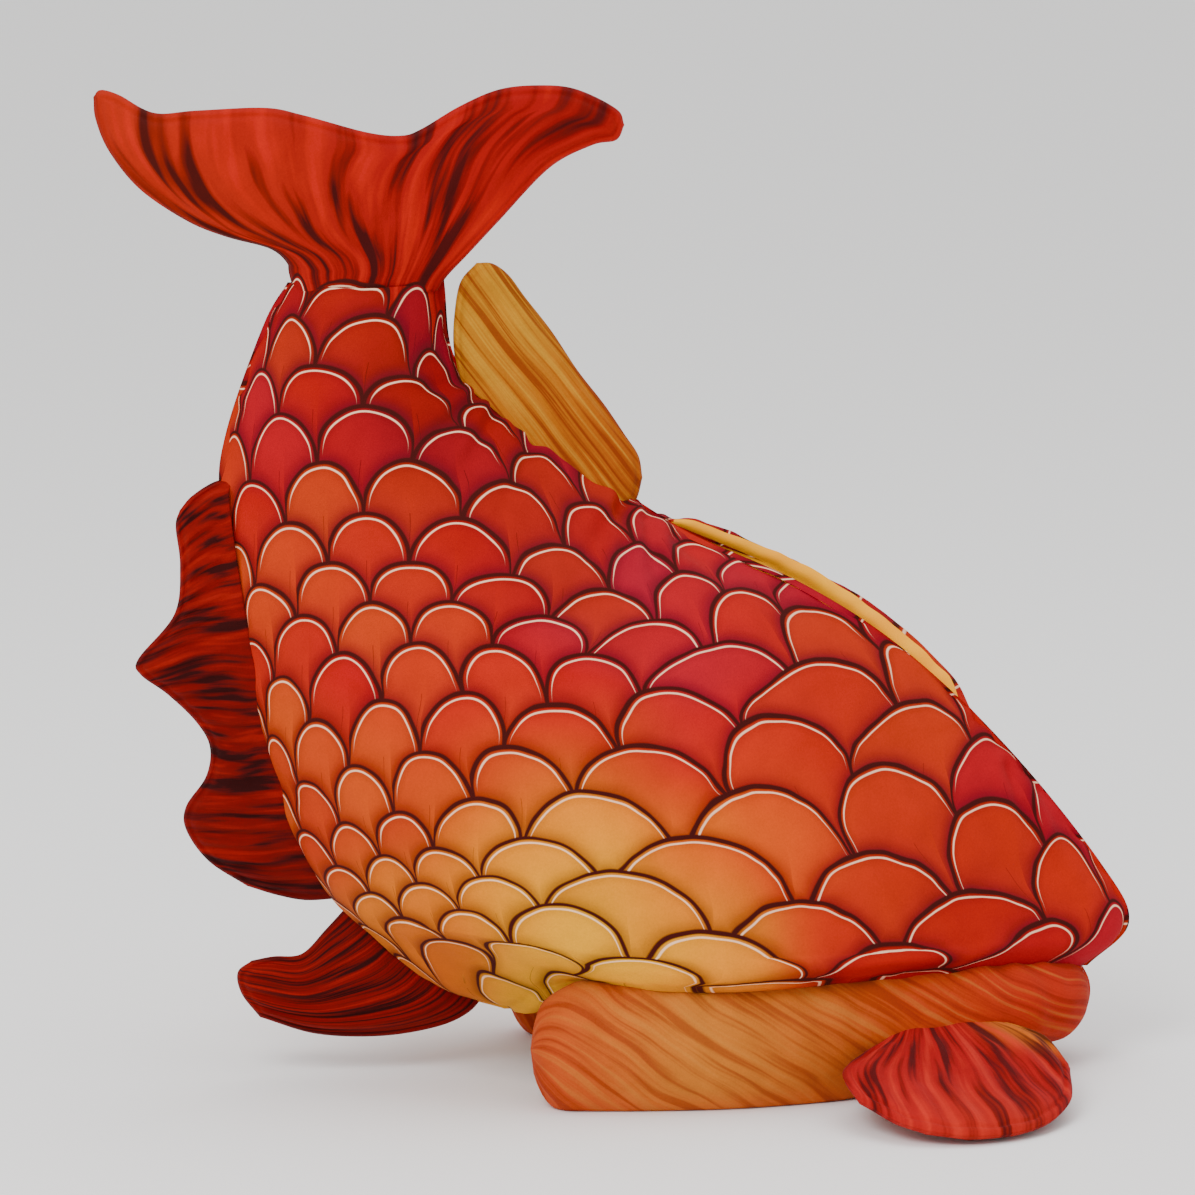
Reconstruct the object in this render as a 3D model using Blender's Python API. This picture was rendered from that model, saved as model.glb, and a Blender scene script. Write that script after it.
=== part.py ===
"""A stuffed plush carp hood. It stands on a horseshoe collar with its tail up, and a head goes in
from below. +X is the belly side, where the face slit is, -X the back, and -Y the left flank.
Each fin is two panels over a filling, and it bends at the seam that holds it."""

import math

import bmesh
import bpy
import numpy as np
from mathutils import Matrix, Vector

# Side outline of the trunk, metres: (x, z) from the hem up to the tail seam.
BACK_LINE = [(-0.057, 0.032), (-0.089, 0.043), (-0.122, 0.068), (-0.151, 0.102), (-0.172, 0.147),
             (-0.187, 0.218), (-0.197, 0.289), (-0.194, 0.325), (-0.175, 0.379), (-0.163, 0.400)]
BELLY_LINE = [(0.236, 0.048), (0.257, 0.070), (0.242, 0.101), (0.197, 0.158), (0.142, 0.213),
              (0.091, 0.248), (0.031, 0.275), (-0.009, 0.302), (-0.059, 0.340), (-0.081, 0.362),
              (-0.086, 0.400)]
# Half the trunk's width at a share of the way up, and how far back its widest place lies.
HALF_WIDTH = [(0.0, 0.100), (0.08, 0.105), (0.2, 0.106), (0.35, 0.099), (0.5, 0.086),
              (0.62, 0.069), (0.75, 0.049), (0.87, 0.033), (1.0, 0.021)]
LEAN = [(0.0, 0.62), (0.35, 0.78), (0.65, 1.0), (1.0, 1.0)]
ROUNDNESS = 0.9
HEM_FLANK_Z = 0.0635
HEM_RISE_SPAN = 0.045
HEM_CLIMB = 0.113
# Every layer shares these stations, so that their facets lie parallel.
AROUND = np.linspace(0.0, 1.0, 12)
UPWARDS = [0.0, 0.022, *np.linspace(0.07, 0.66, 11), *np.linspace(0.70, 1.0, 6)]

# Layers of the trunk wall, measured inwards from the outside of the skin.
SKIN = (0.0, 0.0025)
PADDING = (0.0035, 0.0165)
LINING = (0.0175, 0.0190)
SEAM_HALF_GAP = 0.0005
PADDING_AT = (0.022, 0.660)
LINING_AT = (0.022, 0.660)
CROWN_AT = (0.664, 0.669)
STEM_AT = (0.674, 0.970)
STEM_INSET = 0.0040

# The face slit, as shares of the way up the belly line.
SLIT_AT = (0.31, 0.68)
SLIT_HALF_GAP = 0.018
FACING_AT = (0.36, 0.64)
FACING_THICK = 0.0012
FACING_GAP = 0.0016

# Collar: the left arm's centre line in plan, from its free end to the front, and its section.
ARM_PATH = [(-0.050, -0.076), (0.000, -0.081), (0.045, -0.081), (0.090, -0.072), (0.135, -0.055),
            (0.178, -0.036), (0.209, -0.016), (0.217, -0.0006)]
ARM_HALF_WIDTH = [(-0.03, 0.022), (0.12, 0.022), (0.21, 0.021)]
ARM_BOTTOM = [(-0.03, 0.0), (0.10, 0.0), (0.16, 0.007), (0.21, 0.014)]
ARM_TOP = [(-0.05, 0.050), (-0.02, 0.057), (0.11, 0.058), (0.17, 0.052), (0.21, 0.043)]
ARM_COVER = 0.0016
ARM_GAP = 0.0006
ARM_FLAT = 1.12

# Fins that stand in the middle plane: (x, z) outlines, metres.
TAIL_OUTLINE = [(-0.157, 0.414), (-0.185, 0.421), (-0.212, 0.431), (-0.237, 0.449), (-0.252, 0.468),
                (-0.258, 0.488), (-0.250, 0.496), (-0.228, 0.486), (-0.174, 0.487), (-0.124, 0.474),
                (-0.103, 0.472), (-0.078, 0.486), (-0.040, 0.496), (-0.010, 0.490), (0.003, 0.475),
                (-0.013, 0.466), (-0.034, 0.455), (-0.059, 0.431), (-0.080, 0.414)]
DORSAL_OUTLINE = [(-0.2120, 0.300), (-0.217, 0.286), (-0.218, 0.259), (-0.221, 0.235),
                  (-0.237, 0.211), (-0.232, 0.201), (-0.213, 0.183), (-0.2055, 0.165),
                  (-0.215, 0.138), (-0.214, 0.124), (-0.204, 0.109), (-0.191, 0.099),
                  (-0.182, 0.096), (-0.2010, 0.205)]
HEEL_OUTLINE = [(-0.150, 0.074), (-0.162, 0.061), (-0.183, 0.060), (-0.189, 0.050), (-0.184, 0.035),
                (-0.172, 0.026), (-0.151, 0.021), (-0.119, 0.019), (-0.091, 0.022), (-0.080, 0.026),
                (-0.115, 0.049)]
ANAL_OUTLINE = [(-0.0705, 0.363), (-0.077, 0.372), (-0.078, 0.388), (-0.074, 0.401), (-0.066, 0.407),
                (-0.055, 0.402), (-0.033, 0.374), (-0.007, 0.337), (0.009, 0.312), (0.012, 0.300),
                (0.0095, 0.297), (-0.0295, 0.330)]
# Each one's hinge: two points on its axis, then its panels' distance from the middle plane.
TAIL_HINGE = ((-0.161, 0.403), (-0.083, 0.403))
DORSAL_HINGE = ((-0.2065, 0.304), (-0.1760, 0.092))
HEEL_HINGE = ((-0.144, 0.075), (-0.076, 0.030))
ANAL_HINGE = ((-0.0750, 0.3590), (0.0090, 0.2920))
TAIL_HALF_THICK = 0.012
DORSAL_HALF_THICK = 0.006
HEEL_HALF_THICK = 0.006
ANAL_HALF_THICK = 0.007

# Pectoral fin: its hinge on the collar's side, its slope, and its outline (along, outwards).
PECTORAL_HINGE = ((0.128, -0.090, 0.034), (0.204, -0.052, 0.034))
PECTORAL_SLOPE = math.radians(14.8)
PECTORAL_HALF_THICK = 0.006
PECTORAL_OUTLINE = [(0.006, 0.005), (0.045, 0.003), (0.080, 0.005), (0.089, 0.018), (0.083, 0.046),
                    (0.062, 0.078), (0.030, 0.097), (-0.006, 0.097), (-0.032, 0.076),
                    (-0.041, 0.045), (-0.034, 0.018), (-0.016, 0.006)]

PANEL_THICK = 0.0014
PANEL_GAP = 0.0004
FILLING_INSET = 0.96
OUTLINE_STEPS = 3

COLOURS = {
    "printed_plush_red": ((0.62, 0.06, 0.03), 0.85),
    "dark_red_plush": ((0.30, 0.02, 0.02), 0.85),
    "orange_plush": ((0.72, 0.20, 0.06), 0.85),
    "yellow_plush": ((0.68, 0.36, 0.05), 0.80),
    "crimson_plush": ((0.58, 0.04, 0.06), 0.85),
    "yellow_satin": ((0.95, 0.52, 0.02), 0.45),
    "polyester_fibre": ((0.85, 0.85, 0.82), 0.95),
}


# ---- curves and lists ----

def smooth_line(points, steps=12):
    """A Catmull-Rom line through the points, with `steps` parts to each span."""
    knots = np.array(points, dtype=float)
    ends = np.vstack([2 * knots[0] - knots[1], knots, 2 * knots[-1] - knots[-2]])
    line = []
    for a, b, c, d in zip(ends, ends[1:], ends[2:], ends[3:]):
        for t in np.arange(steps) / steps:
            line.append(0.5 * (2 * b + (c - a) * t + (2 * a - 5 * b + 4 * c - d) * t * t
                               + (3 * b - a - 3 * c + d) * t ** 3))
    return np.array(line + [knots[-1]])


def at_share(line, share):
    """The point at a share of the line's length."""
    reach = np.concatenate([[0.0], np.cumsum(np.linalg.norm(np.diff(line, axis=0), axis=1))])
    return np.array([np.interp(share * reach[-1], reach, line[:, k]) for k in range(line.shape[1])])


def value(table, at):
    return float(np.interp(at, [row[0] for row in table], [row[1] for row in table]))


def ease(t):
    t = min(max(t, 0.0), 1.0)
    return t * t * (3 - 2 * t)


BACK = smooth_line(BACK_LINE)
BELLY = smooth_line(BELLY_LINE)
ARM = smooth_line(ARM_PATH)


# ---- building closed solids ----

def add_material(obj, name):
    colour, roughness = COLOURS[name]
    material = bpy.data.materials.get(name) or bpy.data.materials.new(name)
    material.use_nodes = True
    shader = material.node_tree.nodes["Principled BSDF"]
    shader.inputs["Base Color"].default_value = (*colour, 1.0)
    shader.inputs["Roughness"].default_value = roughness
    shader.inputs["Metallic"].default_value = 0.0
    obj.data.materials.append(material)


def solid_from_rings(name, rings, material, closed_round=True):
    """A closed solid through rings of equal length. The first and last ring are capped.
    With closed_round off a ring goes out along a strip and back along its other face. Both
    faces take the same diagonals, so layers laid on each other don't cross."""
    shape = bmesh.new()
    rows = [[shape.verts.new(p) for p in ring] for ring in rings]
    for low, high in zip(rows, rows[1:]):
        for k in range(len(low)):
            n = (k + 1) % len(low)
            coming_back = not closed_round and len(low) // 2 <= k < len(low) - 1
            if coming_back:
                k, n = n, k
            shape.faces.new((low[k], low[n], high[n]))
            shape.faces.new((low[k], high[n], high[k]))
    for ring in (rows[0], rows[-1]):
        if closed_round:
            shape.faces.new(ring)
        else:
            half = len(ring) // 2
            for k in range(half - 1):
                shape.faces.new((ring[k], ring[k + 1], ring[-k - 2], ring[-k - 1]))
    bmesh.ops.recalc_face_normals(shape, faces=shape.faces)
    bmesh.ops.triangulate(shape, faces=[f for f in shape.faces if len(f.verts) > 4])
    mesh = bpy.data.meshes.new(name)
    shape.to_mesh(mesh)
    shape.free()
    mesh.shade_smooth()
    mesh.set_sharp_from_angle(angle=math.radians(50))
    obj = bpy.data.objects.new(name, mesh)
    PARTS.objects.link(obj)
    add_material(obj, material)
    return obj


def mirrored(points):
    return [(x, -y, z) for x, y, z in points]


def pair(name, rings, material, closed_round=True):
    """The left solid, and its mirror image on the right."""
    solid_from_rings(f"{name}_left", rings, material, closed_round)
    solid_from_rings(f"{name}_right", [mirrored(r) for r in rings], material, closed_round)


# ---- trunk ----

def slit_gap(v):
    low, high = SLIT_AT
    if not low < v < high:
        return SEAM_HALF_GAP
    return max(SEAM_HALF_GAP, SLIT_HALF_GAP * math.sin(math.pi * (v - low) / (high - low)) ** 0.8)


def trunk_point(u, v, inset):
    """On the left flank: u runs from the back seam (0) to the belly seam (1), v from the hem up."""
    back = at_share(BACK, v) + (inset, 0)
    belly = at_share(BELLY, v) - (inset, 0)
    s = (1 - math.cos(math.pi * u)) / 2
    x, z = back + (belly - back) * s
    half = value(HALF_WIDTH, v)
    swell = math.sin(math.pi * s ** value(LEAN, v)) ** ROUNDNESS
    lift = max(0.0, HEM_FLANK_Z + HEM_CLIMB * v - z)
    z += lift * ease(half * swell / HEM_RISE_SPAN)
    y = (half - inset) * swell
    y = max(y + (slit_gap(v) - SEAM_HALF_GAP) * ease(2 * u - 1), SEAM_HALF_GAP)
    return (x, -y, z)


def levels(low, high):
    """The two ends, and the stations between them."""
    return [low, *[v for v in UPWARDS if low < v < high], high]


def wall(name, layer, material, low, high):
    """One layer of the trunk wall, as a left half and a right half."""
    rings = []
    for v in levels(low, high):
        outer = [trunk_point(u, v, layer[0]) for u in AROUND]
        inner = [trunk_point(u, v, layer[1]) for u in AROUND[::-1]]
        rings.append(outer + inner)
    pair(name, rings, material, closed_round=False)


def plug(name, inset, material, low, high):
    """A solid right across the trunk between two heights."""
    rings = []
    for v in levels(low, high):
        left = [trunk_point(u, v, inset) for u in AROUND]
        middle = [(x, 0.0, z) for x, _, z in (left[0], left[-1])]
        right = mirrored(left[-2:0:-1])
        rings.append([middle[0]] + left[1:-1] + [middle[1]] + right)
    solid_from_rings(name, rings, material)


def make_trunk():
    wall("skin", SKIN, "printed_plush_red", 0.0, 1.0)
    wall("padding", PADDING, "polyester_fibre", *PADDING_AT)
    wall("lining", LINING, "yellow_satin", *LINING_AT)
    plug("lining_crown", STEM_INSET, "yellow_satin", *CROWN_AT)
    plug("stem_filling", STEM_INSET, "polyester_fibre", *STEM_AT)


def make_facing():
    """Satin strips that cover the two edges of the slit."""
    rings = []
    for v in levels(*FACING_AT):
        gap = slit_gap(v) - FACING_GAP
        x, z = at_share(BELLY, v)
        near, far = x - SKIN[1] / 2, x - LINING[1]
        rings.append([(near, -gap, z), (far, -gap, z),
                      (far, FACING_THICK - gap, z), (near, FACING_THICK - gap, z)])
    pair("face_facing", rings, "yellow_satin")


# ---- collar ----

def arm_section(x, inset):
    """Half width, bottom and top of the collar's section at x."""
    bottom = value(ARM_BOTTOM, x) + inset
    return value(ARM_HALF_WIDTH, x) - inset, bottom, value(ARM_TOP, x) - inset


def arm_ring(share, inset, angles, shrink=1.0):
    """Points round the collar's section. The underside is pressed flat where it rests."""
    x, y = at_share(ARM, share)
    ahead = at_share(ARM, min(1.0, share + 0.02))
    behind = at_share(ARM, max(0.0, share - 0.02))
    run = (ahead - behind) / np.linalg.norm(ahead - behind)
    if share == 1.0:
        run = np.array([0.0, 1.0])
    side = np.array([run[1], -run[0]])
    half, bottom, top = arm_section(x, inset)
    middle, tall = (bottom + top) / 2, (top - bottom) / 2 * shrink
    ring = []
    for angle in angles:
        out = half * shrink * math.cos(angle)
        up = tall * max(-1.0, math.sin(angle) * ARM_FLAT) if angle > math.pi else tall * math.sin(angle)
        ring.append((x + side[0] * out, y + side[1] * out, middle + up))
    return ring


def make_collar():
    shares = [0.0, 0.03, 0.1, 0.22, 0.34, 0.46, 0.58, 0.7, 0.8, 0.9, 1.0]
    tilt = math.radians(1.5)
    upper = np.linspace(tilt, math.pi - tilt, 9)
    lower = upper + math.pi
    core = []
    for share in shares[1:]:
        shrink = 0.8 if share == shares[1] else 1.0
        core.append(arm_ring(share, ARM_COVER + ARM_GAP, [*upper, *lower], shrink))
    pair("collar_filling", core, "polyester_fibre")
    for name, angles in (("collar_top", upper), ("collar_base", lower)):
        rings = []
        for share in shares:
            shrink = 0.85 if share == 0.0 else 1.0
            outer = arm_ring(share, 0.0, angles, shrink)
            inner = arm_ring(share, ARM_COVER, angles[::-1], shrink)
            rings.append(outer + inner)
        pair(name, rings, "orange_plush", closed_round=False)


# ---- fins ----

def plate(name, outline, lift, half_thick, holder, material):
    """A flat slab of the outline, in its holder's own XY plane, lifted along its Z."""
    curve = bpy.data.curves.new(name, "CURVE")
    curve.dimensions = "2D"
    curve.fill_mode = "BOTH"
    curve.extrude = half_thick
    curve.resolution_u = OUTLINE_STEPS
    spline = curve.splines.new("BEZIER")
    spline.bezier_points.add(len(outline) - 1)
    for point, (x, y) in zip(spline.bezier_points, outline):
        point.co = (x, y, 0)
        point.handle_left_type = "AUTO"
        point.handle_right_type = "AUTO"
    spline.use_cyclic_u = True
    obj = bpy.data.objects.new(name, curve)
    obj.parent = holder
    obj.location = (0, 0, lift)
    PARTS.objects.link(obj)
    add_material(obj, material)


def drawn_in(outline, factor):
    """The outline, drawn in towards its middle."""
    middle = np.mean(outline, axis=0)
    return [tuple(middle + (np.array(p) - middle) * factor) for p in outline]


def make_fin(name, outline, half_thick, holder, material, sides=("left", "right")):
    """Two panels over a filling."""
    panel_lift = half_thick - PANEL_THICK / 2
    plate(f"{name}_panel_{sides[0]}", outline, panel_lift, PANEL_THICK / 2, holder, material)
    plate(f"{name}_panel_{sides[1]}", outline, -panel_lift, PANEL_THICK / 2, holder, material)
    inner = half_thick - PANEL_THICK - PANEL_GAP
    plate(f"{name}_filling", drawn_in(outline, FILLING_INSET), 0.0, inner, holder, "polyester_fibre")


def make_upright_fin(name, outline, hinge, half_thick, material):
    """A fin in the middle plane, held by an empty on its hinge axis."""
    holder = bpy.data.objects.new(f"{name}_hinge", None)
    holder.location = (hinge[0][0], 0.0, hinge[0][1])
    holder.rotation_euler = (math.pi / 2, 0, 0)
    PARTS.objects.link(holder)
    local = [(x - hinge[0][0], z - hinge[0][1]) for x, z in outline]
    make_fin(name, local, half_thick, holder, material)


def make_pectoral(side, sign):
    """A fin that slopes from the collar's side down to the floor."""
    start, end = Vector(PECTORAL_HINGE[0]), Vector(PECTORAL_HINGE[1])
    along = (end - start).normalized()
    outwards = Vector((along.y, -along.x, 0))
    down = outwards * math.cos(PECTORAL_SLOPE) - Vector((0, 0, math.sin(PECTORAL_SLOPE)))
    for axis in (start, along, down):
        axis.y *= sign
    inwards = down * -sign
    turn = Matrix((along, inwards, along.cross(inwards))).transposed()
    holder = bpy.data.objects.new(f"pectoral_{side}_hinge", None)
    holder.matrix_world = Matrix.Translation(start) @ turn.to_4x4()
    PARTS.objects.link(holder)
    local = [(x, -sign * y) for x, y in PECTORAL_OUTLINE]
    make_fin(f"pectoral_{side}", local, PECTORAL_HALF_THICK, holder, "crimson_plush", ("top", "under"))


def start_scene():
    for obj in list(bpy.data.objects):
        bpy.data.objects.remove(obj, do_unlink=True)
    parts = bpy.data.collections.new("carp_hood")
    bpy.context.scene.collection.children.link(parts)
    return parts


PARTS = start_scene()
make_trunk()
make_facing()
make_collar()
make_upright_fin("tail_fin", TAIL_OUTLINE, TAIL_HINGE, TAIL_HALF_THICK, "printed_plush_red")
make_upright_fin("dorsal_fin", DORSAL_OUTLINE, DORSAL_HINGE, DORSAL_HALF_THICK, "dark_red_plush")
make_upright_fin("heel_fin", HEEL_OUTLINE, HEEL_HINGE, HEEL_HALF_THICK, "dark_red_plush")
make_upright_fin("anal_fin", ANAL_OUTLINE, ANAL_HINGE, ANAL_HALF_THICK, "yellow_plush")
make_pectoral("left", 1)
make_pectoral("right", -1)
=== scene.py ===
"""The looks of a plush carp hood: a printed short-pile skin over batting, stuffed fins, a satin lining
and a padded horseshoe collar. Lengths are metres unless a name says mm. -Y is the left flank, and +X the
belly."""

import math

import bpy
import numpy as np
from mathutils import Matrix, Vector, kdtree, noise


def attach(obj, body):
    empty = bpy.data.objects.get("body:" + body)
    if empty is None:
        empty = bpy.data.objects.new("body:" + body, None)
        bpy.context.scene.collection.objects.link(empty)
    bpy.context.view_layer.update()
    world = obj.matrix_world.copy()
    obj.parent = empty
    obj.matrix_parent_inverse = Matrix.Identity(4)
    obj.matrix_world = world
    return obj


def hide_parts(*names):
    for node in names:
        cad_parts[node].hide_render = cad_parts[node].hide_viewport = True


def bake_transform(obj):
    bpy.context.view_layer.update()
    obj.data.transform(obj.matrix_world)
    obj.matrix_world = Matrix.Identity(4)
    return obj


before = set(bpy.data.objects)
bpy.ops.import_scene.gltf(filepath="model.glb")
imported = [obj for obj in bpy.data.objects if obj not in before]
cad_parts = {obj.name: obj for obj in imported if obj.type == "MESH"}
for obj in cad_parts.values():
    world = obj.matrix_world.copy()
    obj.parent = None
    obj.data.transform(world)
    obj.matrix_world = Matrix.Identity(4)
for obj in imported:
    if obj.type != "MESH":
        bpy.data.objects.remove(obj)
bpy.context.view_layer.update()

# ---- pattern pieces, metres. The trunk's lines are the frame's; its hem rises over a longer span, and the
# ---- collar's top and the pectoral seam differ from the frame by up to 13 mm ----

BACK_LINE = [(-0.057, 0.032), (-0.089, 0.043), (-0.122, 0.068), (-0.151, 0.102), (-0.172, 0.147),
             (-0.187, 0.218), (-0.197, 0.289), (-0.194, 0.325), (-0.175, 0.379), (-0.163, 0.400)]
BELLY_LINE = [(0.236, 0.048), (0.257, 0.070), (0.242, 0.101), (0.197, 0.158), (0.142, 0.213),
              (0.091, 0.248), (0.031, 0.275), (-0.009, 0.302), (-0.059, 0.340), (-0.081, 0.362),
              (-0.086, 0.400)]
HALF_WIDTH = [(0.0, 0.100), (0.08, 0.105), (0.2, 0.106), (0.35, 0.099), (0.5, 0.086),
              (0.62, 0.069), (0.75, 0.049), (0.87, 0.033), (1.0, 0.021)]
LEAN = [(0.0, 0.62), (0.35, 0.78), (0.65, 1.0), (1.0, 1.0)]
ROUNDNESS = 0.9
HEM_FLANK_Z = 0.0635
HEM_RISE_SPAN = 0.09
HEM_CLIMB = 0.113
SEAM_HALF_GAP = 0.0005
SLIT_AT = (0.31, 0.68)
SLIT_HALF_GAP = 0.018
WALL = 0.018
CROWN_V = 0.66

ARM_PATH = [(-0.050, -0.076), (0.000, -0.081), (0.045, -0.081), (0.090, -0.072), (0.135, -0.055),
            (0.178, -0.036), (0.209, -0.016), (0.217, -0.0006)]
ARM_HALF_WIDTH = [(-0.03, 0.022), (0.12, 0.022), (0.21, 0.021)]
ARM_BOTTOM = [(-0.03, 0.0), (0.10, 0.0), (0.16, 0.007), (0.21, 0.014)]
ARM_TOP = [(-0.05, 0.058), (-0.02, 0.064), (0.11, 0.065), (0.17, 0.062), (0.21, 0.056)]

# Each fin's four edges, (x, z): where it is sewn on, its two ends, and its free rim.
TAIL = dict(
    root=[(-0.1600, 0.3955), (-0.125, 0.3955), (-0.0885, 0.3955)],
    near=[(-0.1600, 0.3955), (-0.1625, 0.405), (-0.1635, 0.410), (-0.172, 0.417), (-0.193, 0.423),
          (-0.212, 0.431),
          (-0.235, 0.447), (-0.250, 0.466), (-0.2565, 0.482), (-0.2575, 0.493)],
    far=[(-0.0885, 0.3955), (-0.0845, 0.402), (-0.074, 0.413), (-0.059, 0.429), (-0.034, 0.455),
         (-0.013, 0.466), (-0.001, 0.4685), (0.003, 0.476)],
    rim=[(-0.2575, 0.493), (-0.254, 0.4965), (-0.245, 0.494), (-0.228, 0.485), (-0.207, 0.486),
         (-0.174, 0.487), (-0.155, 0.483), (-0.124, 0.474), (-0.107, 0.472), (-0.097, 0.475),
         (-0.078, 0.486), (-0.059, 0.494), (-0.040, 0.496), (-0.021, 0.494), (-0.001, 0.484),
         (0.003, 0.476)])
DORSAL = dict(
    root=[(-0.1900, 0.303), (-0.1925, 0.289), (-0.1820, 0.218), (-0.1670, 0.147), (-0.1460, 0.102),
          (-0.1360, 0.090)],
    near=[(-0.1900, 0.303), (-0.200, 0.301), (-0.211, 0.294), (-0.217, 0.287)],
    far=[(-0.1360, 0.090), (-0.155, 0.089), (-0.170, 0.092), (-0.185, 0.097)],
    rim=[(-0.217, 0.287), (-0.219, 0.279), (-0.217, 0.259), (-0.220, 0.235), (-0.238, 0.213),
         (-0.237, 0.205), (-0.224, 0.195), (-0.210, 0.181), (-0.203, 0.168), (-0.205, 0.153),
         (-0.215, 0.138), (-0.215, 0.126), (-0.204, 0.110), (-0.185, 0.097)])
HEEL = dict(
    root=[(-0.135, 0.086), (-0.110, 0.060), (-0.066, 0.040)],
    near=[(-0.135, 0.086), (-0.146, 0.074), (-0.158, 0.062), (-0.172, 0.061), (-0.183, 0.059)],
    far=[(-0.066, 0.040), (-0.075, 0.030), (-0.091, 0.023), (-0.119, 0.019), (-0.151, 0.021),
         (-0.179, 0.030)],
    rim=[(-0.183, 0.059), (-0.190, 0.053), (-0.188, 0.042), (-0.179, 0.030)])
ANAL = dict(
    root=[(-0.079, 0.350), (-0.064, 0.338), (-0.037, 0.313), (-0.015, 0.295), (0.003, 0.284)],
    near=[(-0.079, 0.350), (-0.0815, 0.367), (-0.081, 0.383), (-0.078, 0.399), (-0.070, 0.4085)],
    far=[(0.003, 0.284), (0.009, 0.289), (0.012, 0.300)],
    rim=[(-0.070, 0.4085), (-0.062, 0.408), (-0.054, 0.402), (-0.046, 0.391), (-0.033, 0.374),
         (-0.020, 0.354), (-0.007, 0.337), (0.003, 0.322), (0.010, 0.311), (0.012, 0.300)])
# The pectoral fin's edges, (along its seam, outwards).
PECTORAL = dict(
    root=[(0.006, -0.006), (0.043, -0.008), (0.078, -0.006)],
    near=[(0.006, -0.006), (-0.014, 0.004), (-0.033, 0.018), (-0.041, 0.045)],
    far=[(0.078, -0.006), (0.087, 0.007), (0.089, 0.020), (0.083, 0.046)],
    rim=[(-0.041, 0.045), (-0.032, 0.076), (-0.006, 0.096), (0.030, 0.097), (0.062, 0.078),
         (0.083, 0.046)])
PECTORAL_HINGE = ((0.121, -0.090, 0.029), (0.197, -0.052, 0.029))
PECTORAL_SLOPE = math.radians(14.8)

# ---- the print ----

# Guide scales: row, column, then where the top of its arc lies on the flank seen square on, in mm. The
# places are measured ones, not worked out by a rule.
GUIDE_SCALES = [
    (0, 0, -141, 400), (0, 2, -99, 400), (1, -1, -161, 386), (1, 1, -121, 388), (2, 2, -105, 356),
    (3, -1, -168, 337), (3, 1, -127, 345), (3, 3, -83, 332), (4, -2, -181, 302), (4, 0, -148, 315),
    (4, 2, -110, 317), (4, 4, -57, 306), (4, 8, 10, 283), (5, 3, -83, 292), (5, 5, -35, 274),
    (6, -2, -179, 249), (6, 2, -105, 270), (6, 4, -62, 266), (6, 6, -8, 254), (7, -1, -157, 241),
    (7, 3, -87, 253), (7, 7, 11, 240), (7, 9, 47, 250), (8, 0, -140, 223), (8, 4, -69, 235),
    (8, 6, -29, 225), (8, 8, 47, 226), (8, 10, 84, 243), (9, 3, -76, 210), (9, 5, -35, 199),
    (9, 7, 6, 214), (9, 9, 100, 216), (10, 4, -70, 185), (10, 6, 8, 183), (10, 8, 61, 196),
    (10, 10, 148, 187), (11, 3, -70, 161), (11, 5, -30, 163), (11, 7, 71, 157), (11, 9, 114, 165),
    (12, -2, -137, 113), (12, 2, -97, 129), (12, 4, -60, 136), (12, 6, 31, 139), (12, 8, 122, 119),
    (12, 10, 175, 139), (13, 5, -8, 124), (13, 7, 82, 102), (13, 9, 172, 94), (13, 11, 218, 121),
    (14, 0, -112, 95), (14, 4, -46, 109), (14, 6, 45, 91), (14, 8, 120, 82), (14, 10, 213, 82),
    (14, 12, 246, 80), (15, 5, -4, 84), (15, 7, 81, 66), (15, 9, 153, 64), (16, 2, -71, 67),
    (16, 4, -35, 66)]

# Airbrushed colour: (x, z, reach) in mm and the dye there. The heel fin's table also holds painted shade.
TRUNK_DYES = [
    (-125, 390, 26, "#BE1C0C"), (-100, 345, 26, "#B21008"), (-165, 330, 26, "#CE3A16"),
    (-175, 250, 28, "#DA5A20"), (-120, 260, 28, "#D2401A"), (-60, 300, 26, "#C22A1C"),
    (-20, 262, 26, "#C22430"), (30, 262, 24, "#CC2A38"), (22, 215, 26, "#D63440"),
    (70, 235, 26, "#D02A2C"), (-100, 205, 24, "#D84A1C"), (-50, 205, 22, "#DC4A20"),
    (-8, 186, 18, "#E0701E"), (-155, 150, 26, "#DC6A24"), (-95, 160, 24, "#DE701E"),
    (-52, 172, 18, "#EE9430"), (-30, 150, 18, "#F6A82A"), (-60, 122, 20, "#F6B026"),
    (-30, 96, 22, "#FFCC34"), (12, 104, 20, "#FFBE30"), (-105, 95, 22, "#E89630"),
    (30, 134, 18, "#F0861C"), (50, 92, 18, "#F0A434"), (76, 134, 18, "#EA721A"),
    (92, 98, 18, "#DC4A16"), (60, 178, 20, "#DC4E16"), (110, 150, 24, "#D23A12"),
    (150, 185, 26, "#D63C1C"), (172, 110, 30, "#CC2A0C"), (130, 68, 20, "#D4480F"),
    (232, 90, 26, "#D43A18"), (104, 215, 24, "#CE2418"), (185, 150, 24, "#D23410")]
TAIL_DYES = [
    (-125, 400, 22, "#A8160C"), (-150, 440, 24, "#C23A16"), (-200, 450, 26, "#CC4818"),
    (-245, 478, 18, "#C8481C"), (-185, 478, 20, "#C02C12"), (-120, 455, 20, "#B81C0E"),
    (-70, 460, 24, "#C41E10"), (-70, 425, 20, "#D02A10"), (-25, 484, 22, "#B8180E")]
DORSAL_DYES = [(-200, 280, 30, "#A81E14"), (-215, 215, 26, "#9E1A12"), (-180, 150, 30, "#981810"),
               (-205, 125, 22, "#A22014"), (-150, 95, 20, "#8E140C")]
# Dye with painted shade: the heel fin's darkest spot, at its root, stands for the shadow where it tucks in
# behind the body.
HEEL_DYES_AND_PAINTED_SHADE = [(-170, 45, 24, "#A82416"), (-130, 60, 22, "#96180E"), (-90, 35, 24, "#A42014")]
ANAL_DYES = [(-70, 385, 26, "#D4A02C"), (-45, 350, 24, "#CE8C20"), (0, 310, 20, "#C87E20"),
             (-40, 388, 14, "#D8AC3C")]
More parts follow.
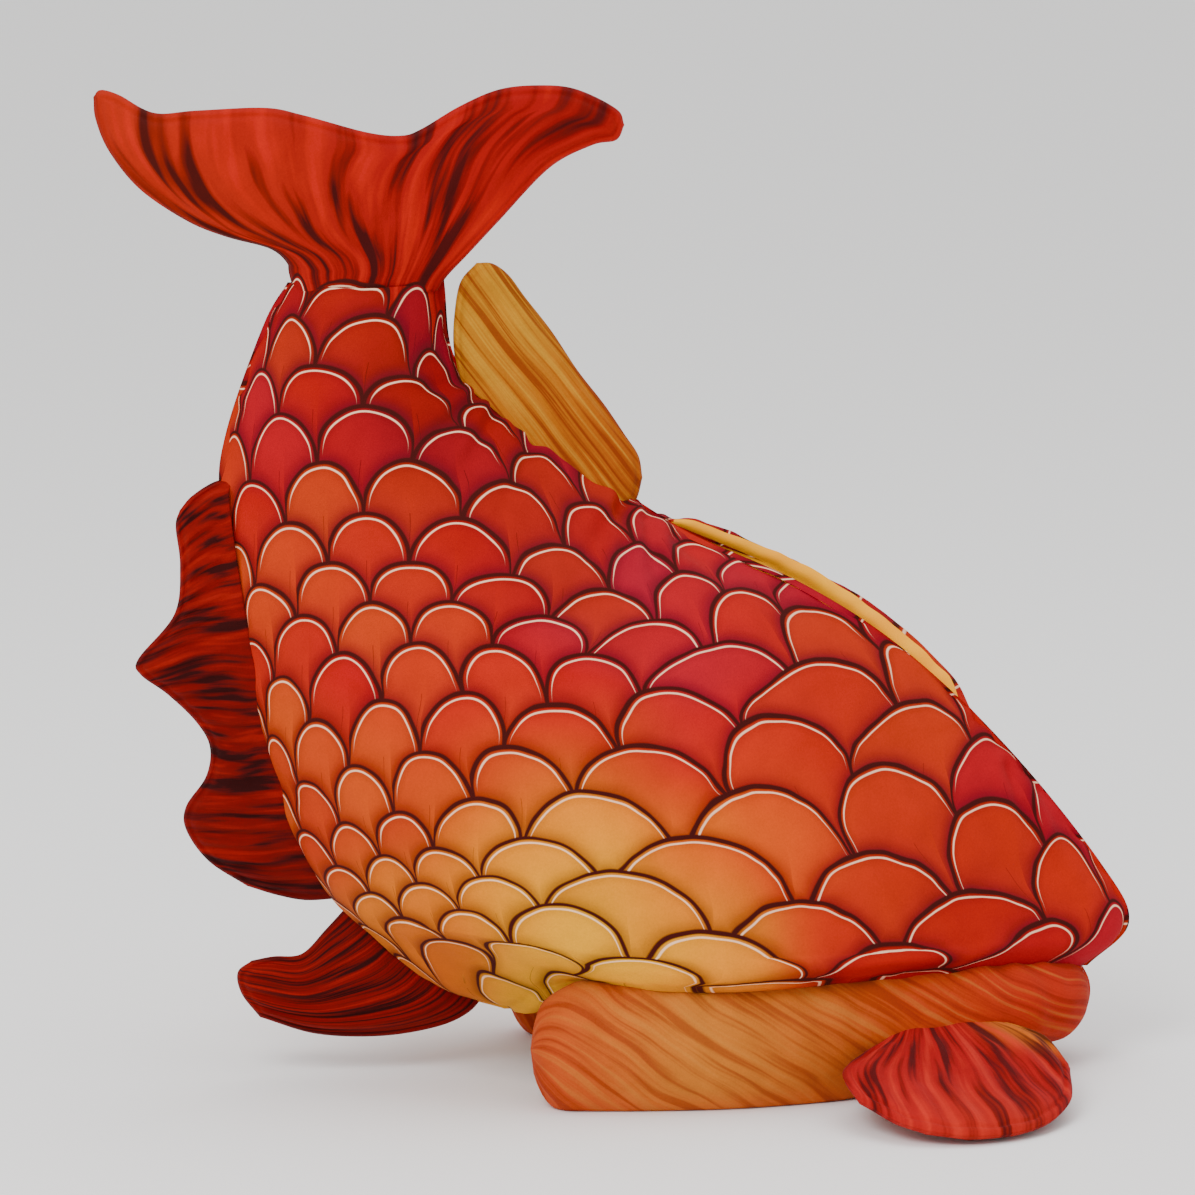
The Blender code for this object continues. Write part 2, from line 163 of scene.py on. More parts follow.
PECTORAL_DYES = [(20, 20, 24, "#C41C28"), (-30, 50, 20, "#C83034"), (10, 90, 22, "#D04434"),
                 (60, 60, 22, "#C8282A"), (84, 12, 14, "#E29A38")]
COLLAR_DYES = [(-50, 20, 26, "#D8602E"), (-20, 40, 26, "#DC8C44"), (40, 30, 30, "#E0A04C"),
               (90, 30, 30, "#DC8A40"), (150, 30, 30, "#D8652E"), (215, 25, 30, "#D24A24")]

# Where the cloth is dragged: from (x, z) to (x, z), half width, and depth of the crease, in mm.
CREASES = [
    (-74, 352, -110, 348, 3.5, 1.6), (-70, 344, -100, 326, 3.0, 1.3), (-62, 334, -84, 306, 3.5, 1.2),
    (-44, 318, -66, 286, 4.0, 1.2), (0, 288, -26, 262, 4.5, 1.8), (2, 286, -2, 246, 4.0, 1.7),
    (12, 280, 20, 250, 4.0, 1.4), (28, 274, 52, 254, 3.5, 1.2), (-70, 232, 16, 262, 8.0, 2.0),
    (-120, 205, -50, 214, 6.0, 1.1), (196, 152, 206, 118, 3.5, 1.8), (212, 140, 236, 96, 4.0, 1.4),
    (-150, 386, -120, 372, 5.0, 1.0), (-176, 150, -140, 138, 6.0, 1.0), (-168, 190, -120, 196, 7.0, 0.9)]

# Disperse dye sinks into the pile, so cloth looks deeper than its swatch.
DYE_DEPTH = 1.5
DYE_STRENGTH = 0.72

# How far the lattice of scales may miss its guides, and how much of its lean from upright the arcs take.
PRINT_EASE = 0.010
LEAN_SHARE = 0.75

# ---- how finely and how softly things are drawn ----

SKIN_COLUMNS = 150
SKIN_ROWS = 260
TURNED_ROWS = 5
# One unit of a crease's depth, in metres.
CREASE_UNIT = 0.0016
# How far the slit's near lip sinks and its far lip rises.
LIP_DROP = 0.004
# Points across and along each fin, and how far its middle plane sways.
FIN_GRID = {"tail": (170, 90), "dorsal": (190, 60), "heel": (60, 90), "anal": (120, 60),
            "pectoral": (120, 80)}
FIN_SWAY = 0.0025
# Height of the tail's seam, and the trunk's length from hem to seam.
TAIL_SEAM_MM = 395.5
TRUNK_LENGTH = 0.42
ARM_LENGTH = 0.30
ARM_TIP = 0.022
# The lining starts just above the hem, and is gathered into a point over the last rows.
LINING_GRID = (60, 90, 10)
LINING_START = 0.004


# ---- lines and surfaces ----

def smooth_line(points, steps=12):
    """A Catmull-Rom line through the points."""
    knots = np.array(points, dtype=float)
    ends = np.vstack([2 * knots[0] - knots[1], knots, 2 * knots[-1] - knots[-2]])
    line = []
    for a, b, c, d in zip(ends, ends[1:], ends[2:], ends[3:]):
        for t in np.arange(steps) / steps:
            line.append(0.5 * (2 * b + (c - a) * t + (2 * a - 5 * b + 4 * c - d) * t * t
                               + (3 * b - a - 3 * c + d) * t ** 3))
    return np.array(line + [knots[-1]])


def at_share(line, share):
    """The points at shares of the line's length."""
    reach = np.concatenate([[0.0], np.cumsum(np.linalg.norm(np.diff(line, axis=0), axis=1))])
    return np.stack([np.interp(np.asarray(share) * reach[-1], reach, line[:, k])
                     for k in range(line.shape[1])], axis=-1)


def ease(t):
    """0 to 1, slow at both ends."""
    t = np.clip(t, 0.0, 1.0)
    return t * t * (3 - 2 * t)


def dome(t):
    """A quarter round: steep at 0, level at 1."""
    t = np.clip(t, 0, 1)
    return np.sqrt(t * (2 - t))


def read(table, at):
    """A table's value, drawn through its points as a smooth line."""
    line = smooth_line(table)
    return np.interp(at, line[:, 0], line[:, 1])


BACK = smooth_line(BACK_LINE)
BELLY = smooth_line(BELLY_LINE)
ARM = smooth_line(ARM_PATH)


def slit_gap(v):
    """Half the gap between the two halves along the belly seam, which opens into the slit."""
    low, high = SLIT_AT
    inside = np.clip((v - low) / (high - low), 0.0, 1.0)
    return np.maximum(SEAM_HALF_GAP, SLIT_HALF_GAP * np.sin(math.pi * inside) ** 0.8)


def trunk_surface(u, v, inset):
    """The left flank: u from the back seam (0) to the belly seam (1), v from the hem up."""
    back = at_share(BACK, v) + np.stack([inset, 0 * inset], -1)
    belly = at_share(BELLY, v) - np.stack([inset, 0 * inset], -1)
    s = ((1 - np.cos(math.pi * u)) / 2)
    x, z = np.moveaxis(back + (belly - back) * s[..., None], -1, 0)
    half = read(HALF_WIDTH, v)
    swell = np.maximum(np.sin(math.pi * s ** read(LEAN, v)), 0.0) ** ROUNDNESS
    lift = np.maximum(0.0, HEM_FLANK_Z + HEM_CLIMB * v - z)
    z = z + lift * ease(half * swell / HEM_RISE_SPAN)
    y = (half - inset) * swell
    y = np.maximum(y + (slit_gap(v) - SEAM_HALF_GAP) * ease(2 * u - 1), SEAM_HALF_GAP)
    return np.stack([x, -y, z], -1)


def normals_of(grid):
    """Unit normals of a grid of points."""
    n = np.cross(np.gradient(grid, axis=1), np.gradient(grid, axis=0))
    return n / np.maximum(np.linalg.norm(n, axis=-1, keepdims=True), 1e-12)


def lumps(points, size, seed):
    """Soft random height, -1 to 1, over lumps of that size."""
    flat = points.reshape(-1, 3) / size + seed
    return np.array([noise.noise(Vector(p)) for p in flat]).reshape(points.shape[:-1])


def crease_depth(x_mm, z_mm):
    """How deep the cloth is drawn in at each point of the flank, in metres."""
    depth = np.zeros_like(x_mm)
    for x0, z0, x1, z1, half, deep in CREASES:
        run = np.array([x1 - x0, z1 - z0])
        t = ((x_mm - x0) * run[0] + (z_mm - z0) * run[1]) / (run @ run)
        t_on = np.clip(t, 0.0, 1.0)
        off = np.hypot(x_mm - x0 - run[0] * t_on, z_mm - z0 - run[1] * t_on)
        groove = np.exp(-(off / half) ** 2) - 0.45 * np.exp(-((off - 2 * half) / half) ** 2)
        depth += deep * CREASE_UNIT * groove * (1 - 0.75 * t_on)
    return depth


def patch(edges, across, along):
    """A Coons patch between a fin's four edges: rows from the root to the rim, columns from the near end."""
    root, rim = (at_share(smooth_line(edges[k]), across)[None, :, :] for k in ("root", "rim"))
    near, far = (at_share(smooth_line(edges[k]), along)[:, None, :] for k in ("near", "far"))
    t, s = across[None, :, None], along[:, None, None]
    corners = ((1 - s) * ((1 - t) * root[:, :1] + t * root[:, -1:])
               + s * ((1 - t) * rim[:, :1] + t * rim[:, -1:]))
    return (1 - s) * root + s * rim + (1 - t) * near + t * far - corners


# ---- meshes ----

def mesh_piece(name, points, faces, attributes):
    """A mesh object. attributes are {name: a value or a vector for each point}."""
    mesh = bpy.data.meshes.new(name)
    mesh.from_pydata(points.reshape(-1, 3).tolist(), [], faces)
    mesh.validate()
    mesh.shade_smooth()
    obj = bpy.data.objects.new(name, mesh)
    bpy.context.scene.collection.objects.link(obj)
    rest = points.reshape(-1, 3) * 1000
    for key, values in {"rest_mm": rest, **attributes}.items():
        values = np.asarray(values, dtype=np.float32)
        if values.shape[-1] == 3 and values.ndim > 1 and values.size == rest.size:
            mesh.attributes.new(key, "FLOAT_VECTOR", "POINT").data.foreach_set("vector", values.ravel())
        else:
            mesh.attributes.new(key, "FLOAT", "POINT").data.foreach_set("value", values.ravel())
    return obj


def grid_faces(rows, columns, wrap=False, flip=False, start=0):
    """Quads over a grid of points. wrap joins the last column to the first."""
    faces = []
    for r in range(rows - 1):
        for c in range(columns if wrap else columns - 1):
            n = (c + 1) % columns
            quad = (start + r * columns + c, start + r * columns + n,
                    start + (r + 1) * columns + n, start + (r + 1) * columns + c)
            faces.append(quad[::-1] if flip else quad)
    return faces


def dyed(dyes, x_mm, z_mm):
    """The airbrushed colour at each point, linear light."""
    total = np.zeros(np.shape(x_mm))
    colours = np.zeros(np.shape(x_mm) + (3,))
    for x, z, reach, colour in dyes:
        weight = np.exp(-((x_mm - x) ** 2 + (z_mm - z) ** 2) / (2 * reach ** 2)) + 1e-9
        total += weight
        colours += weight[..., None] * np.array(linear(colour)[:3])
    return np.minimum(DYE_STRENGTH * (colours / total[..., None]) ** DYE_DEPTH, 0.92)


def inked(colour):
    """A streak's colour, as deep as the dyes."""
    return tuple(min(DYE_STRENGTH * c ** DYE_DEPTH, 0.92) for c in linear(colour)[:3]) + (1.0,)


def linear(colour):
    """An sRGB hex colour as linear RGBA."""
    parts = [int(colour[k:k + 2], 16) / 255 for k in (1, 3, 5)]
    return tuple(c / 12.92 if c <= 0.04045 else ((c + 0.055) / 1.055) ** 2.4 for c in parts) + (1.0,)


def mirrored(points):
    """The same points on the right side."""
    return points * np.array([1.0, -1.0, 1.0])


# ---- materials ----

def add(tree, kind, inputs=(), **settings):
    """Adds a node. inputs are {socket: a value, or the output of another node}."""
    node = tree.nodes.new(kind)
    for name, setting in settings.items():
        setattr(node, name, setting)
    for socket, given in dict(inputs).items():
        if isinstance(given, bpy.types.NodeSocket):
            tree.links.new(given, node.inputs[socket])
        else:
            node.inputs[socket].default_value = given
    return node


def sums(tree, known, steps):
    """Runs lines such as ("edge", "MINIMUM", "a", "b") as Math nodes, and returns every result by name."""
    for name, operation, *given in steps:
        inputs = {k: known.get(g, g) for k, g in enumerate(given)}
        known[name] = add(tree, "ShaderNodeMath", inputs, operation=operation).outputs[0]
    return known


def new_material(name, roughness, sheen, sheen_tint, sheen_roughness=0.45):
    material = bpy.data.materials.new(name)
    material.use_nodes = True
    tree = material.node_tree
    shader = tree.nodes["Principled BSDF"]
    shader.inputs["Roughness"].default_value = roughness
    shader.inputs["Specular IOR Level"].default_value = 0.15
    shader.inputs["Sheen Weight"].default_value = sheen
    shader.inputs["Sheen Roughness"].default_value = sheen_roughness
    shader.inputs["Sheen Tint"].default_value = linear(sheen_tint)
    return material, tree, shader


def mixed(tree, share, first, second, blend="MIX"):
    """One colour laid over another."""
    node = add(tree, "ShaderNodeMix", {0: share, 6: first, 7: second}, data_type="RGBA", blend_type=blend)
    return node.outputs[2]


def pile(tree, shader, colour, rest):
    """Short cut pile about 1.5 mm long, drawn at a 1.1 mm grain so that it shows, with brushed patches."""
    tuft = add(tree, "ShaderNodeTexNoise", {"Vector": rest, "Scale": 0.9, "Detail": 3.0, "Roughness": 0.7})
    brush = add(tree, "ShaderNodeTexNoise", {"Vector": rest, "Scale": 0.07, "Detail": 2.0})
    tone = sums(tree, {"tuft": tuft.outputs[0], "brush": brush.outputs[0]}, [
        ("t1", "MULTIPLY_ADD", "tuft", 0.34, 0.83), ("t2", "MULTIPLY_ADD", "brush", 0.24, 0.88),
        ("tone", "MULTIPLY", "t1", "t2"), ("height", "MULTIPLY_ADD", "brush", 0.5, "tuft")])
    grey = add(tree, "ShaderNodeCombineColor", {0: tone["tone"], 1: tone["tone"], 2: tone["tone"]})
    shaded = mixed(tree, 1.0, colour, grey.outputs[0], "MULTIPLY")
    tree.links.new(shaded, shader.inputs["Base Color"])
    bump = add(tree, "ShaderNodeBump", {"Height": tone["height"], "Strength": 0.35, "Distance": 0.0006})
    tree.links.new(bump.outputs[0], shader.inputs["Normal"])


def streaks(tree, rest, dye, dark, light, strands, contrast):
    """Long brush streaks that run with the grain. strands is streaks per unit of the grain's first
    number."""
    grain = add(tree, "ShaderNodeAttribute", attribute_name="grain").outputs["Vector"]
    bend = add(tree, "ShaderNodeTexNoise", {"Vector": rest, "Scale": 0.02, "Detail": 1.0})
    lane = add(tree, "ShaderNodeVectorMath", {0: bend.outputs["Color"], 1: (0.06, 0.0, 0.0), 2: grain},
               operation="MULTIPLY_ADD")
    wide = add(tree, "ShaderNodeMapping", {"Vector": lane.outputs[0], "Scale": (strands, 0.9, 1.0)})
    fine = add(tree, "ShaderNodeMapping", {"Vector": lane.outputs[0], "Scale": (strands * 3.1, 1.6, 1.0)})
    broad = add(tree, "ShaderNodeTexNoise", {"Vector": wide.outputs[0], "Scale": 1.0, "Detail": 2.0})
    thin = add(tree, "ShaderNodeTexNoise", {"Vector": fine.outputs[0], "Scale": 1.0, "Detail": 2.0})
    known = sums(tree, {"a": broad.outputs[0], "b": thin.outputs[0]}, [
        ("sum", "MULTIPLY_ADD", "b", 0.35, "a"), ("dark", "SUBTRACT", 0.68, "sum"),
        ("dark", "MULTIPLY", "dark", 7.0 * contrast), ("light", "SUBTRACT", "sum", 0.72),
        ("light", "MULTIPLY", "light", 4.0 * contrast)])
    dark_share = add(tree, "ShaderNodeClamp", {0: known["dark"], 1: 0.0, 2: 0.88 * min(contrast, 1.0)})
    light_share = add(tree, "ShaderNodeClamp", {0: known["light"], 1: 0.0, 2: 0.5 * min(contrast, 1.0)})
    colour = mixed(tree, light_share.outputs[0], dye, inked(light))
    return mixed(tree, dark_share.outputs[0], colour, inked(dark))


def printed_scale_plush():
    """Polyester velboa, heat-transfer printed with overlapping fish scales: matt, with a soft sheen where
    the pile turns edge-on. Lines are printed 1.6 to 2.4 mm wide, with a cream light of up to 1.2 mm inside
    each arc. Above the first row the scales give way to brush streaks. A scale's arc is the top of an
    ellipse one column wide and `depth` rows tall, and lower rows lie over upper ones."""
    material, tree, shader = new_material("velboa_printed_with_scales", 0.9, 0.04, "#FF6040")
    place = add(tree, "ShaderNodeAttribute", attribute_name="scale_place").outputs["Vector"]
    size = add(tree, "ShaderNodeAttribute", attribute_name="scale_size").outputs["Vector"]
    rest = add(tree, "ShaderNodeAttribute", attribute_name="rest_mm").outputs["Vector"]
    dye = add(tree, "ShaderNodeAttribute", attribute_name="dye").outputs["Vector"]
    hand = add(tree, "ShaderNodeTexNoise", {"Vector": rest, "Scale": 0.045, "Detail": 1.0})
    wobble = add(tree, "ShaderNodeSeparateXYZ", {0: hand.outputs["Color"]})
    at = add(tree, "ShaderNodeSeparateXYZ", {0: place})
    cell = add(tree, "ShaderNodeSeparateXYZ", {0: size})
    lean = add(tree, "ShaderNodeAttribute", attribute_name="scale_lean").outputs["Vector"]
    lean = add(tree, "ShaderNodeSeparateXYZ", {0: lean})
    known = {"p0": at.outputs[0], "r0": at.outputs[1], "wide": cell.outputs[0], "tall": cell.outputs[1],
             "depth": cell.outputs[2], "w1": wobble.outputs[0], "w2": wobble.outputs[1],
             "skew": lean.outputs[0], "slope": lean.outputs[1]}
    steps = [
        ("w1", "SUBTRACT", "w1", 0.5), ("w2", "SUBTRACT", "w2", 0.5),
        ("p", "MULTIPLY_ADD", "w1", 0.14, "p0"), ("r", "MULTIPLY_ADD", "w2", 0.14, "r0"),
        ("row0", "FLOOR", "r"), ("square", "MULTIPLY", "skew", "slope"),
        ("square", "SUBTRACT", 1.0, "square")]
    state = {"own": 99.0, "under": 99.0, "edge": 99.0, "high": 0.0, "id_row": 0.0, "id_column": 0.0}
    for row in (-2, -1, 0, 1, 2):
        steps += [
            ("row", "ADD", "row0", float(row)), ("odd", "FLOORED_MODULO", "row", 2.0),
            ("down", "SUBTRACT", "r", "row"), ("x", "MULTIPLY_ADD", "skew", "down", "p"),
            ("x", "SUBTRACT", "x", "odd"), ("near", "MULTIPLY", "x", 0.5), ("near", "ROUND", "near"),
            ("near", "MULTIPLY", "near", 2.0), ("column", "ADD", "near", "odd"),
            ("x", "SUBTRACT", "x", "near"),
            ("y", "MULTIPLY", "down", "square"), ("y", "MULTIPLY_ADD", "slope", "x", "y"),
            ("y", "SUBTRACT", "depth", "y"), ("y", "MAXIMUM", "y", 0.0),
            ("high_here", "DIVIDE", "y", "depth"),
            ("ring", "MULTIPLY", "high_here", "high_here"), ("ring", "MULTIPLY_ADD", "x", "x", "ring"),
            ("ring", "SQRT", "ring"), ("inside", "LESS_THAN", "ring", 1.0), ("gap", "SUBTRACT", "ring", 1.0),
            ("printed", "GREATER_THAN", "row", -0.5), ("inside", "MULTIPLY", "inside", "printed"),
            ("none", "SUBTRACT", 1.0, "printed"), ("none", "MULTIPLY", "none", 99.0),
            ("gap", "ABSOLUTE", "gap"), ("ring", "MAXIMUM", "ring", 0.05), ("gap", "DIVIDE", "gap", "ring"),
            ("x_mm", "MULTIPLY", "x", "wide"), ("y_mm", "MULTIPLY", "y", "tall"),
            ("reach", "MULTIPLY", "x_mm", "x_mm"), ("reach", "MULTIPLY_ADD", "y_mm", "y_mm", "reach"),
            ("reach", "SQRT", "reach"), ("off", "MULTIPLY_ADD", "gap", "reach", "none"),
            ("least_edge", "MINIMUM", state["edge"], "off"),
            ("least_under", "MINIMUM", state["under"], "off")]
        for name, over, else_keep in (("own", "off", state["own"]), ("under", 99.0, "least_under"),
                                      ("edge", "off", "least_edge"), ("high", "high_here", state["high"]),
                                      ("id_row", "row", state["id_row"]),
                                      ("id_column", "column", state["id_column"])):
            steps += [("change", "SUBTRACT", over, else_keep),
                      (f"{name}{row}", "MULTIPLY_ADD", "change", "inside", else_keep)]
        state = {name: f"{name}{row}" for name in state}
    steps += [
        ("half", "MINIMUM", "wide", "tall"), ("half", "MULTIPLY", "half", 0.05),
        ("half", "MINIMUM", "half", 1.2), ("half", "MAXIMUM", "half", 0.8),
        ("half", "MULTIPLY_ADD", "w1", 0.7, "half"),
        ("line", "SUBTRACT", "edge2", "half"), ("line", "DIVIDE", "line", -0.7),
        ("line", "ADD", "line", 0.5),
        ("light_at", "ADD", "half", 1.5), ("light", "SUBTRACT", "own2", "light_at"),
        ("light", "ABSOLUTE", "light"), ("taper", "MULTIPLY", "high2", 1.1),
        ("taper", "MINIMUM", "taper", 0.62),
        ("light", "SUBTRACT", "taper", "light"), ("light", "MULTIPLY", "light", 2.2),
        ("shade", "DIVIDE", "under2", -4.5), ("shade", "EXPONENT", "shade"),
        ("rim", "DIVIDE", "edge2", 7.0), ("rim", "MINIMUM", "rim", 1.0),
        ("covered", "LESS_THAN", "own2", 50.0)]
    known = sums(tree, known, steps)
    for name, top in (("line", 1.0), ("light", 0.8), ("shade", 0.7)):
        known[name] = add(tree, "ShaderNodeClamp", {0: known[name], 1: 0.0, 2: top}).outputs[0]
    which = add(tree, "ShaderNodeCombineXYZ", {0: known["id_column2"], 1: known["id_row2"]})
    lot = add(tree, "ShaderNodeTexWhiteNoise", {0: which.outputs[0]}, noise_dimensions="3D")
    tint = sums(tree, {"lot": lot.outputs[0], "rim": known["rim"]}, [
        ("v", "MULTIPLY_ADD", "lot", 0.20, 0.88), ("g", "MULTIPLY_ADD", "rim", 0.34, 0.74),
        ("value", "MULTIPLY", "v", "g"), ("hue", "MULTIPLY_ADD", "lot", 0.014, 0.493)])
    base = add(tree, "ShaderNodeHueSaturation", {0: tint["hue"], 1: 1.0, 2: tint["value"], 4: dye})
    deep = add(tree, "ShaderNodeHueSaturation", {0: 0.487, 1: 1.1, 2: 0.40, 4: dye})
    colour = mixed(tree, known["shade"], base.outputs[0], deep.outputs[0])
    colour = mixed(tree, known["light"], colour, linear("#FFD2AC"))
    brushed = streaks(tree, rest, dye, "#4A0804", "#E8401C", 12, 1.0)
    colour = mixed(tree, known["covered"], brushed, colour)
    pile(tree, shader, mixed(tree, known["line"], colour, linear("#3A0603")), rest)
    return material


def streaked_plush(name, dark, light, strands, contrast, sheen_tint):
    """The same velboa, printed with long brush streaks that run with the fin."""
    material, tree, shader = new_material(name, 0.9, 0.04, sheen_tint)
    rest = add(tree, "ShaderNodeAttribute", attribute_name="rest_mm").outputs["Vector"]
    dye = add(tree, "ShaderNodeAttribute", attribute_name="dye").outputs["Vector"]
    pile(tree, shader, streaks(tree, rest, dye, dark, light, strands, contrast), rest)
    return material


def yellow_satin():
    """Polyester satin, woven and calendered: a smooth bright yellow with a soft gloss and fine ribs of
    0.8 mm, coarser than its threads so that they show."""
    material, tree, shader = new_material("polyester_satin_woven", 0.42, 0.1, "#FFE9A0")
    rest = add(tree, "ShaderNodeAttribute", attribute_name="rest_mm").outputs["Vector"]
    ribs = add(tree, "ShaderNodeTexWave", {"Vector": rest, "Scale": 0.4, "Distortion": 1.5, "Detail": 2.0})
    # Painted shade and light: broad patches of darker orange and brighter yellow stand in for the satin's
    # folds.
    painted_fold_shade = add(tree, "ShaderNodeTexNoise", {"Vector": rest, "Scale": 0.06, "Detail": 2.0})
    colour = mixed(tree, painted_fold_shade.outputs[0], linear("#F09000"), linear("#FFBC00"))
    tree.links.new(colour, shader.inputs["Base Color"])
    bump = add(tree, "ShaderNodeBump", {"Height": ribs.outputs["Fac"], "Strength": 0.12, "Distance": 0.0002})
    tree.links.new(bump.outputs[0], shader.inputs["Normal"])
    return material


def dress(obj, material, body=None):
    obj.data.materials.append(material)
    if body:
        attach(obj, body)
    return obj


# ---- trunk ----

def warp(guides, targets):
    """A thin-plate spline that takes each guide point to its target, as a function of new points."""
    def bend(a, b):
        r2 = ((a[:, None, :] - b[None, :, :]) ** 2).sum(-1) + 1e-9
        return 0.5 * r2 * np.log(r2)
    count = len(guides)
    flat = np.hstack([np.ones((count, 1)), guides])
    system = np.zeros((count + 3, count + 3))
    system[:count, :count] = bend(guides, guides) + PRINT_EASE * np.eye(count)
    system[:count, count:] = flat
    system[count:, :count] = flat.T
    weights = np.linalg.solve(system, np.vstack([targets, np.zeros((3, targets.shape[1]))]))
    return lambda p: (bend(p, guides) @ weights[:count]
                      + np.hstack([np.ones((len(p), 1)), p]) @ weights[count:])


def soften(field, reach=16, rounds=2):
    """A field evened out over its neighbours, so that the arcs stay smooth."""
    kernel = np.ones(reach + 1) / (reach + 1)
    for _ in range(rounds):
        for axis in (0, 1):
            padding = [(reach // 2, reach // 2) if k == axis else (0, 0) for k in (0, 1)]
            field = np.apply_along_axis(lambda line: np.convolve(line, kernel, "valid"), axis,
                                        np.pad(field, padding, mode="edge"))
    return field


def scale_print(skin, u, v):
    """The print's attributes at points of the skin: their place in the lattice of scales, how big a step
    of it is in mm, how deep its arcs are, and how its rows and columns lean from level and upright."""
    place = LATTICE(np.stack([u, 1.5 * v], -1).reshape(-1, 2)).reshape(u.shape + (2,))
    run_u, run_v = np.gradient(skin, axis=1) * 1000, np.gradient(skin, axis=0) * 1000
    normal = np.cross(run_u, run_v)
    normal /= np.maximum(np.linalg.norm(normal, axis=-1, keepdims=True), 1e-9)
    normal *= np.where(normal[..., 1:2] > 0, -1.0, 1.0)
    down = np.array([0.0, 0.0, -1.0]) + normal * normal[..., 2:]
    down /= np.maximum(np.linalg.norm(down, axis=-1, keepdims=True), 1e-9)
    sideways = np.cross(normal, down)
    steps_mm = np.stack([np.stack([(run * axis).sum(-1) for run in (run_u, run_v)], -1)
                         for axis in (sideways, down)], -2)
    steps_mm += 1e-4 * np.eye(2)
    lattice = np.stack([np.stack([np.gradient(place[..., k], axis=axis) for axis in (1, 0)], -1)
                        for k in (0, 1)], -2)
    lattice += 1e-7 * np.eye(2)
    cell = steps_mm @ np.linalg.inv(lattice)
    wide, tall = (soften(np.clip(np.abs(cell[..., k, k]), 5.0, 60.0)) for k in (0, 1))
    level = LEAN_SHARE * ease(v / 0.1)
    skew = soften(level * np.clip(cell[..., 0, 1] / wide, -0.8, 0.8))
    slope = soften(level * np.clip(cell[..., 1, 0] / tall, -0.4, 0.4))
    depth = np.clip(0.9 * wide / tall, 1.0, 1.9)
    return {"scale_place": np.stack([*np.moveaxis(place, -1, 0), 0 * u], -1),
            "scale_size": np.stack([wide, tall, depth], -1),
            "scale_lean": np.stack([skew, slope, 0 * u], -1)}


def lay_out_print():
    """The lattice of scales, fitted to the guide scales: a function from the flank to (column, row)."""
    v, u = np.meshgrid(np.linspace(0, 1, 200), np.linspace(0, 1, 120), indexing="ij")
    side = trunk_surface(u, v, 0 * u)[..., [0, 2]].reshape(-1, 2) * 1000
    flank = np.stack([u, 1.5 * v], -1).reshape(-1, 2)
    guides, targets = [], []
    for row, column, x, z in GUIDE_SCALES:
        guides.append(flank[np.argmin(((side - (x, z)) ** 2).sum(1))])
        targets.append((column, row))
    return warp(np.array(guides), np.array(targets, dtype=float))


def make_trunk(material):
    """Two printed shells, sewn down the back and the belly, with their edges turned in."""
    turned = TURNED_ROWS
    u_line = np.concatenate([np.zeros(turned), np.linspace(0, 1, SKIN_COLUMNS), np.ones(turned)])
    v_line = np.concatenate([np.zeros(turned), np.linspace(0, 1, SKIN_ROWS)])
    tuck = np.arange(1, turned + 1) / turned
    tuck_u = np.concatenate([tuck[::-1], np.zeros(SKIN_COLUMNS), tuck])
    tuck_v = np.concatenate([tuck[::-1], np.zeros(SKIN_ROWS)])
    v, u = np.meshgrid(v_line, u_line, indexing="ij")
    slit = slit_gap(v)
    inset = tuck_v[:, None] * WALL * 0.9 + tuck_u[None, :] * np.where(u > 0.5, 0.0065, 0.004)
    base = trunk_surface(u, v, np.maximum(inset, 0.0))
    plain = trunk_surface(u, v, 0 * u)
    out = normals_of(trunk_surface(np.clip(u, 0.02, 0.98), v, 0 * u))
    out *= np.sign(-out[SKIN_ROWS // 2, SKIN_COLUMNS // 2, 1])
    across = np.abs(plain[..., 1])
    seam = np.exp(-((across - SEAM_HALF_GAP) / 0.0035) ** 1.4)
    at_slit = (u > 0.5) * ease((slit - 0.002) / 0.006)
    hem = np.exp(-(v * 0.43 / 0.006) ** 2)
    swell = (0.0030 * lumps(plain, 0.055, 3.1) + 0.0011 * lumps(plain, 0.018, 8.7)
             + 0.0002 * lumps(plain, 0.006, 5.2))
    swell *= 1 - seam
    stitches = np.sin(plain[..., 2] * 1000 / 3.1 + 4 * lumps(plain, 0.03, 1.4))
    pucker = seam * (1 - at_slit) * (0.0012 + 0.0008 * stitches)
    pucker += hem * (0.0006 + 0.0009 * lumps(plain * (1, 1, 0), 0.007, 6.6))
    lip = at_slit * np.exp(-((across - slit) / 0.006) ** 2) * (0.0022 + 0.0012 * lumps(plain, 0.02, 2.2))
    creases = crease_depth(plain[..., 0] * 1000, plain[..., 2] * 1000)
    free = (1 - tuck_v[:, None]) * (1 - tuck_u[None, :])
    grown = base + out * ((swell - pucker - creases * (1 - seam) + lip) * free)[..., None]
    grown[..., 1] = np.minimum(grown[..., 1], -0.0003)
    grown[..., 2] -= 0.004 * np.sin(math.pi * tuck_v)[:, None] * ease(across / 0.03)
    printed = scale_print(plain, u, v)
    printed["dye"] = dyed(TRUNK_DYES, plain[..., 0] * 1000, plain[..., 2] * 1000)
    printed["grain"] = np.stack([(1 - np.cos(math.pi * u)) / 2, v - 1, 0 * u], -1)
    across_lip = at_slit * np.exp(-((across - slit) / 0.012) ** 2) * free
    for side, drop in (("left", -LIP_DROP), ("right", LIP_DROP)):
        points = grown + out * (drop * across_lip)[..., None]
        points = mirrored(points) if side == "right" else points
        obj = mesh_piece(f"trunk_skin_{side}", points, grid_faces(*u.shape, flip=side == "right"), printed)
        dress(obj, material, "hood")
        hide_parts(f"skin_{side}", f"padding_{side}")
        if side == "left":
            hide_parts("stem_filling")


